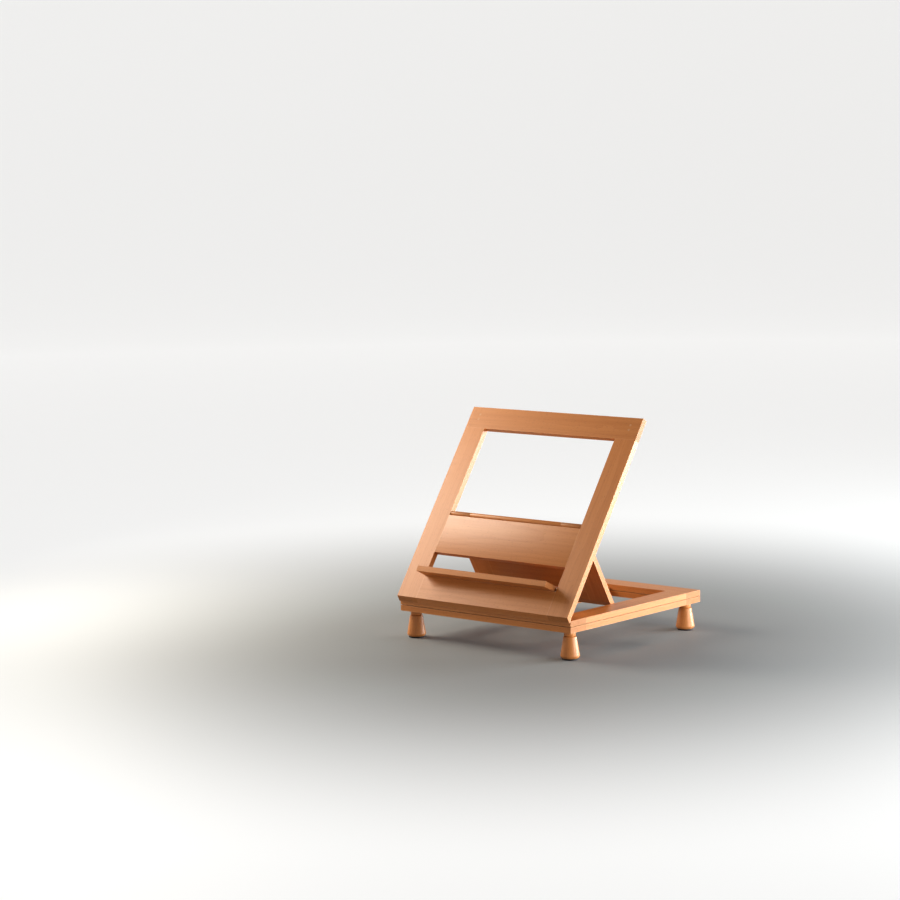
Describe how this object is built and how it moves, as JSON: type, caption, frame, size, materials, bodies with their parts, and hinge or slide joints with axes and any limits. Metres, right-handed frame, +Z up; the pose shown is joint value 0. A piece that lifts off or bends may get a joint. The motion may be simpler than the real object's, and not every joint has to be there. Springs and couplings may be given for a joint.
{
  "type": "table-top easel",
  "caption": "Table-top easel: an open wooden panel with a folding ledge, held at a slope by a hinged strut on a square revolving base with turned feet.",
  "frame": {"origin": "on the table under the middle of the whole outline", "axes": "+X to the easel's right as seen from its front, +Y to its back, +Z up"},
  "size_m": [0.4, 0.403, 0.412],
  "materials": {
    "beech": "satin varnish",
    "pale_dowel": "satin varnish",
    "dark_pad": "matt",
    "slip_disc": "matt",
    "brass": "satin",
    "steel": "zinc plated"
  },
  "bodies": {
    "lower_base": {"lower_front_rail": "beech", "lower_back_rail": "beech", "lower_left_rail": "beech", "lower_right_rail": "beech", "lower_centre_rail": "beech", "lower_frame_dowels": "pale_dowel", "foot_front_left": "beech", "foot_front_right": "beech", "foot_back_left": "beech", "foot_back_right": "beech", "foot_pad_front_left": "dark_pad", "foot_pad_front_right": "dark_pad", "foot_pad_back_left": "dark_pad", "foot_pad_back_right": "dark_pad", "pivot_bolt": "steel", "pivot_nut": "steel", "pivot_washer": "slip_disc", "glide_discs": "slip_disc"},
    "turntable": {"upper_front_rail": "beech", "upper_back_rail": "beech", "upper_left_rail": "beech", "upper_right_rail": "beech", "upper_centre_rail": "beech", "upper_frame_dowels": "pale_dowel", "hinge_base_leaf_left": "brass", "hinge_base_leaf_right": "brass", "hinge_pin_left": "brass", "hinge_pin_right": "brass", "hinge_base_screws": "brass"},
    "panel": {"left_stile": "beech", "right_stile": "beech", "top_rail": "beech", "mid_rail": "beech", "bottom_rail": "beech", "panel_dowels": "pale_dowel", "corner_pins": "pale_dowel", "strut_pins": "steel", "ledge_pins": "steel", "hinge_panel_leaf_left": "brass", "hinge_panel_leaf_right": "brass", "hinge_panel_screws": "brass"},
    "strut": {"strut_left_edge": "beech", "strut_board": "beech", "strut_right_edge": "beech"},
    "ledge": {"ledge": "beech"}
  },
  "joints": [
    {"name": "base_turn", "type": "hinge", "parent": "lower_base", "child": "turntable", "pos_m": [0, 0.00445, 0.0623], "axis": [0, 0, 1], "continuous": true},
    {"name": "panel_tilt", "type": "hinge", "parent": "turntable", "child": "panel", "pos_m": [0, -0.19255, 0.07375], "axis": [1, 0, 0], "range_deg": [-55.3, 0]},
    {"name": "strut_fold", "type": "hinge", "parent": "panel", "child": "strut", "pos_m": [0, -0.09509, 0.2246], "axis": [1, 0, 0], "range_deg": [0, 115.5]},
    {"name": "ledge_fold", "type": "hinge", "parent": "panel", "child": "ledge", "pos_m": [0, -0.16688, 0.12092], "axis": [-1, 0, 0], "range_deg": [0, 99]}
  ],
  "couplings": [
    {"joint": "strut_fold", "follows": "panel_tilt", "ratio": -2.0886}
  ]
}
